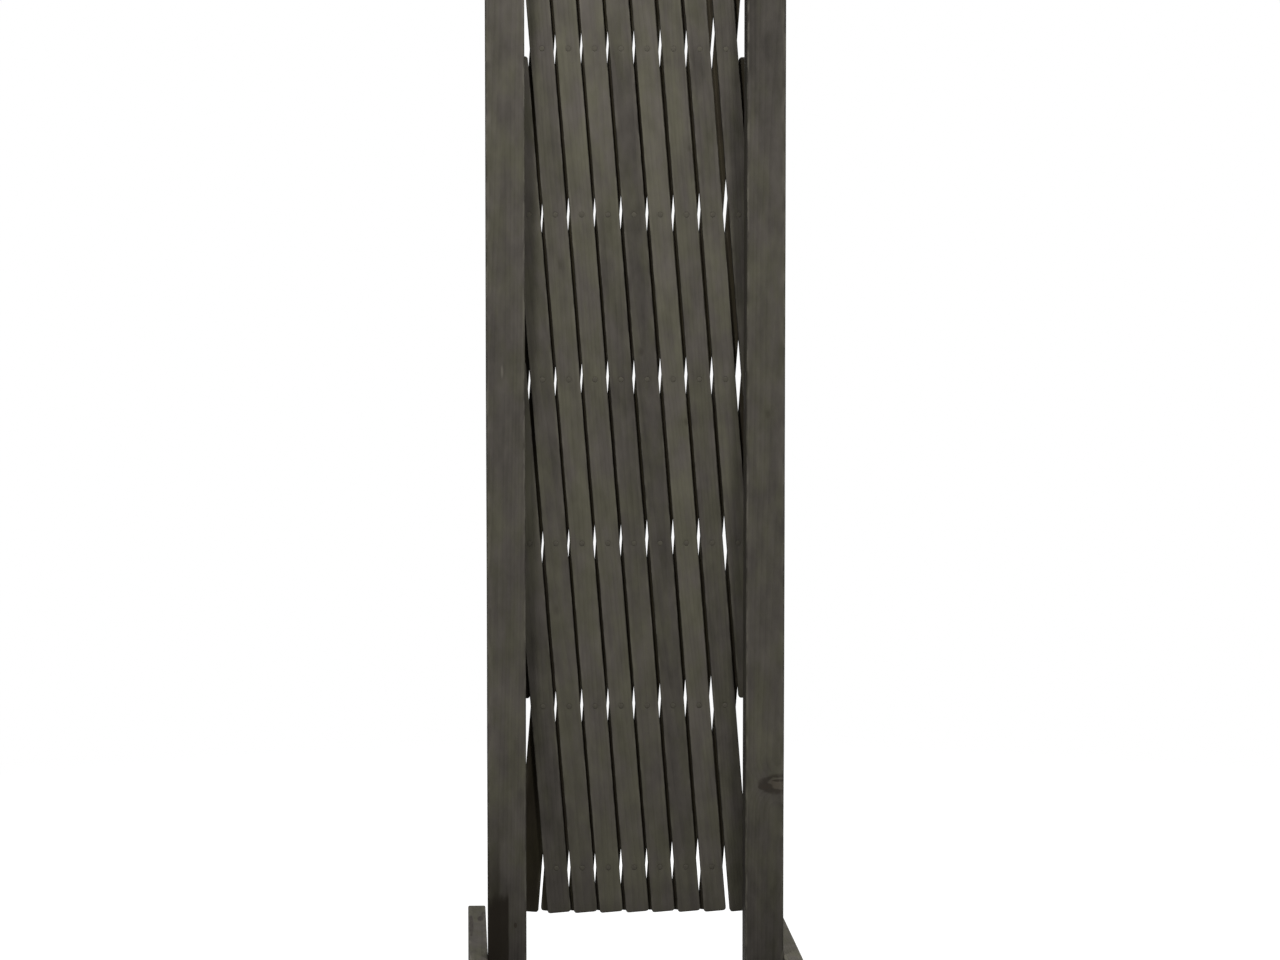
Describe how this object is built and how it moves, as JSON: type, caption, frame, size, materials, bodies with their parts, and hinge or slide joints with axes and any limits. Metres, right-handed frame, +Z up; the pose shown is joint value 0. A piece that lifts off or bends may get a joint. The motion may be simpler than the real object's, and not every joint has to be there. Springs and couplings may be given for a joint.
{
  "type": "expanding trellis fence",
  "caption": "Free-standing wooden trellis fence: a riveted lattice of slats that folds and extends between square posts, each on a foot board.",
  "frame": {"origin": "on the floor, midway between the posts, with the lattice folded shut", "axes": "+X along the fence from the left post to the right post, +Y to the back, where the lattice is, +Z up"},
  "size_m": [0.2862, 0.45, 1.01],
  "materials": {
    "stained_fir": "matte stain",
    "stained_fir_dark": "matte stain",
    "painted_rivet": "matte",
    "zinc_steel": "satin"
  },
  "bodies": {
    "left_frame": {"left_post": "stained_fir", "left_foot": "stained_fir", "left_foot_screws": "zinc_steel", "left_pivot_screw": "zinc_steel", "left_pivot_washer": "zinc_steel"},
    "right_frame": {"right_post": "stained_fir", "right_foot": "stained_fir", "right_foot_screws": "zinc_steel", "right_pivot_screw": "zinc_steel", "right_pivot_washer": "zinc_steel"},
    "front_slat_1": {"front_slat_1": "stained_fir", "rivets_1": "painted_rivet"},
    "front_slat_2": {"front_slat_2": "stained_fir", "rivets_2": "painted_rivet"},
    "front_slat_3": {"front_slat_3": "stained_fir", "rivets_3": "painted_rivet"},
    "front_slat_4": {"front_slat_4": "stained_fir", "rivets_4": "painted_rivet"},
    "front_slat_5": {"front_slat_5": "stained_fir", "rivets_5": "painted_rivet"},
    "front_slat_6": {"front_slat_6": "stained_fir", "rivets_6": "painted_rivet"},
    "front_slat_7": {"front_slat_7": "stained_fir", "rivets_7": "painted_rivet"},
    "front_slat_8": {"front_slat_8": "stained_fir", "rivets_8": "painted_rivet"},
    "front_slat_9": {"front_slat_9": "stained_fir", "rivets_9": "painted_rivet"},
    "front_slat_10": {"front_slat_10": "stained_fir", "rivets_10": "painted_rivet"},
    "back_slat_1": {"back_slat_1": "stained_fir_dark"},
    "back_slat_2": {"back_slat_2": "stained_fir_dark"},
    "back_slat_3": {"back_slat_3": "stained_fir_dark"},
    "back_slat_4": {"back_slat_4": "stained_fir_dark"},
    "back_slat_5": {"back_slat_5": "stained_fir_dark"},
    "back_slat_6": {"back_slat_6": "stained_fir_dark"},
    "back_slat_7": {"back_slat_7": "stained_fir_dark"},
    "back_slat_8": {"back_slat_8": "stained_fir_dark"},
    "back_slat_9": {"back_slat_9": "stained_fir_dark"},
    "back_slat_10": {"back_slat_10": "stained_fir_dark"}
  },
  "joints": [
    {"name": "lattice_fold", "type": "hinge", "parent": "left_frame", "child": "front_slat_1", "pos_m": [-0.10112, 0, 0.54519], "axis": [0, -1, 0], "range_deg": [0, 38.5]},
    {"name": "back_slat_1_pivot", "type": "hinge", "parent": "left_frame", "child": "back_slat_1", "pos_m": [-0.10112, 0, 0.54519], "axis": [0, -1, 0], "range_deg": [-38.5, 0]},
    {"name": "back_slat_2_pivot", "type": "hinge", "parent": "front_slat_1", "child": "back_slat_2", "pos_m": [-0.08988, 0, 0.40413], "axis": [0, -1, 0], "range_deg": [-77, 0]},
    {"name": "back_slat_3_pivot", "type": "hinge", "parent": "front_slat_1", "child": "back_slat_3", "pos_m": [-0.07865, 0, 0.26308], "axis": [0, -1, 0], "range_deg": [-77, 0]},
    {"name": "back_slat_4_pivot", "type": "hinge", "parent": "front_slat_1", "child": "back_slat_4", "pos_m": [-0.06741, 0, 0.12203], "axis": [0, -1, 0], "range_deg": [-77, 0]},
    {"name": "front_slat_2_pivot", "type": "hinge", "parent": "back_slat_1", "child": "front_slat_2", "pos_m": [-0.08988, 0, 0.68624], "axis": [0, -1, 0], "range_deg": [0, 77]},
    {"name": "front_slat_3_pivot", "type": "hinge", "parent": "back_slat_1", "child": "front_slat_3", "pos_m": [-0.07865, 0, 0.82729], "axis": [0, -1, 0], "range_deg": [0, 77]},
    {"name": "front_slat_4_pivot", "type": "hinge", "parent": "back_slat_1", "child": "front_slat_4", "pos_m": [-0.06741, 0, 0.96835], "axis": [0, -1, 0], "range_deg": [0, 77]},
    {"name": "front_slat_5_pivot", "type": "hinge", "parent": "back_slat_4", "child": "front_slat_5", "pos_m": [-0.02247, 0, 0.68624], "axis": [0, -1, 0], "range_deg": [0, 77]},
    {"name": "front_slat_6_pivot", "type": "hinge", "parent": "back_slat_4", "child": "front_slat_6", "pos_m": [-0.01124, 0, 0.82729], "axis": [0, -1, 0], "range_deg": [0, 77]},
    {"name": "front_slat_7_pivot", "type": "hinge", "parent": "back_slat_4", "child": "front_slat_7", "pos_m": [0, 0, 0.96835], "axis": [0, -1, 0], "range_deg": [0, 77]},
    {"name": "back_slat_5_pivot", "type": "hinge", "parent": "front_slat_7", "child": "back_slat_5", "pos_m": [0.01124, 0, 0.82729], "axis": [0, -1, 0], "range_deg": [-77, 0]},
    {"name": "back_slat_6_pivot", "type": "hinge", "parent": "front_slat_7", "child": "back_slat_6", "pos_m": [0.02247, 0, 0.68624], "axis": [0, -1, 0], "range_deg": [-77, 0]},
    {"name": "back_slat_7_pivot", "type": "hinge", "parent": "front_slat_7", "child": "back_slat_7", "pos_m": [0.03371, 0, 0.54519], "axis": [0, -1, 0], "range_deg": [-77, 0]},
    {"name": "back_slat_8_pivot", "type": "hinge", "parent": "front_slat_7", "child": "back_slat_8", "pos_m": [0.04494, 0, 0.40413], "axis": [0, -1, 0], "range_deg": [-77, 0]},
    {"name": "back_slat_9_pivot", "type": "hinge", "parent": "front_slat_7", "child": "back_slat_9", "pos_m": [0.05618, 0, 0.26308], "axis": [0, -1, 0], "range_deg": [-77, 0]},
    {"name": "back_slat_10_pivot", "type": "hinge", "parent": "front_slat_7", "child": "back_slat_10", "pos_m": [0.06741, 0, 0.12203], "axis": [0, -1, 0], "range_deg": [-77, 0]},
    {"name": "front_slat_8_pivot", "type": "hinge", "parent": "back_slat_10", "child": "front_slat_8", "pos_m": [0.07865, 0, 0.26308], "axis": [0, -1, 0], "range_deg": [0, 77]},
    {"name": "front_slat_9_pivot", "type": "hinge", "parent": "back_slat_10", "child": "front_slat_9", "pos_m": [0.08988, 0, 0.40413], "axis": [0, -1, 0], "range_deg": [0, 77]},
    {"name": "right_post_pivot", "type": "hinge", "parent": "back_slat_10", "child": "right_frame", "pos_m": [0.10112, 0, 0.54519], "axis": [0, -1, 0], "range_deg": [0, 38.5]},
    {"name": "front_slat_10_pivot", "type": "hinge", "parent": "right_frame", "child": "front_slat_10", "pos_m": [0.10112, 0, 0.54519], "axis": [0, -1, 0], "range_deg": [0, 38.5]}
  ],
  "couplings": [
    {"joint": "back_slat_1_pivot", "follows": "lattice_fold", "ratio": -1},
    {"joint": "back_slat_2_pivot", "follows": "lattice_fold", "ratio": -2},
    {"joint": "back_slat_3_pivot", "follows": "lattice_fold", "ratio": -2},
    {"joint": "back_slat_4_pivot", "follows": "lattice_fold", "ratio": -2},
    {"joint": "front_slat_2_pivot", "follows": "lattice_fold", "ratio": 2},
    {"joint": "front_slat_3_pivot", "follows": "lattice_fold", "ratio": 2},
    {"joint": "front_slat_4_pivot", "follows": "lattice_fold", "ratio": 2},
    {"joint": "front_slat_5_pivot", "follows": "lattice_fold", "ratio": 2},
    {"joint": "front_slat_6_pivot", "follows": "lattice_fold", "ratio": 2},
    {"joint": "front_slat_7_pivot", "follows": "lattice_fold", "ratio": 2},
    {"joint": "back_slat_5_pivot", "follows": "lattice_fold", "ratio": -2},
    {"joint": "back_slat_6_pivot", "follows": "lattice_fold", "ratio": -2},
    {"joint": "back_slat_7_pivot", "follows": "lattice_fold", "ratio": -2},
    {"joint": "back_slat_8_pivot", "follows": "lattice_fold", "ratio": -2},
    {"joint": "back_slat_9_pivot", "follows": "lattice_fold", "ratio": -2},
    {"joint": "back_slat_10_pivot", "follows": "lattice_fold", "ratio": -2},
    {"joint": "front_slat_8_pivot", "follows": "lattice_fold", "ratio": 2},
    {"joint": "front_slat_9_pivot", "follows": "lattice_fold", "ratio": 2},
    {"joint": "right_post_pivot", "follows": "lattice_fold", "ratio": 1},
    {"joint": "front_slat_10_pivot", "follows": "lattice_fold", "ratio": 1}
  ]
}
